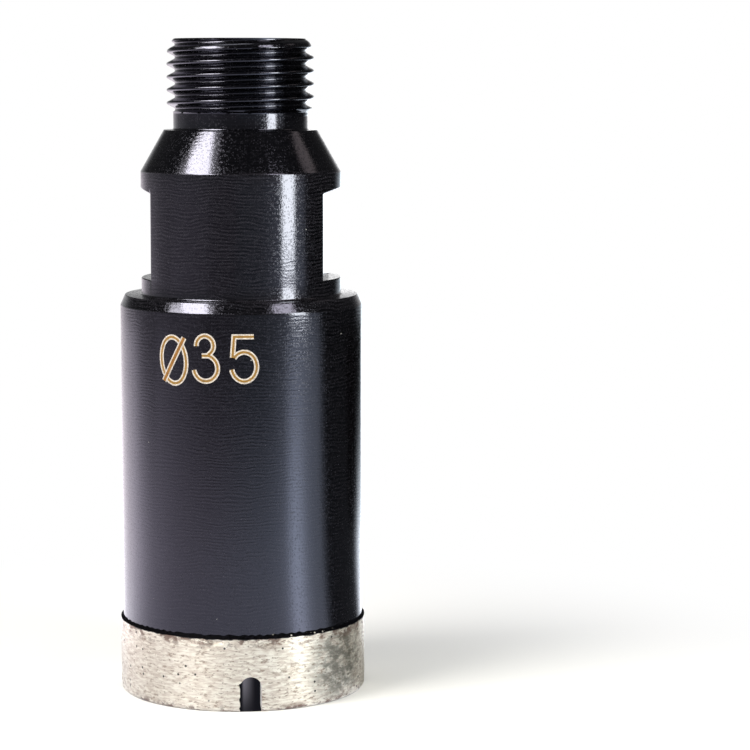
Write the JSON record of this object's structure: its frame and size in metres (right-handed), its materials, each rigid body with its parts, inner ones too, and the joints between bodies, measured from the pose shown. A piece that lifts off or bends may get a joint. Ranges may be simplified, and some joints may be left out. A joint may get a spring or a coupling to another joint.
{
  "type": "diamond core bit",
  "caption": "Short hollow core drill for stone and tile: a black steel body with a threaded shank, wrench flats and a side hole, and a brazed sintered diamond crown with water slots.",
  "frame": {"origin": "on the tool's axis, in the plane of the cutting rim", "axes": "+Z along the tool's axis from the cutting rim to the spindle thread; the wrench flats face +X and -X, and the side hole faces -X"},
  "size_m": [0.035, 0.035, 0.0922],
  "materials": {
    "black_steel": "satin black coat over fine turning lines",
    "sintered_crown": "ground sintered metal with small pits and stains",
    "coated_braze": "rough black coat over braze"
  },
  "bodies": {
    "root": {"body": "black_steel", "crown": "sintered_crown", "braze_fillet": "coated_braze"}
  },
  "joints": []
}
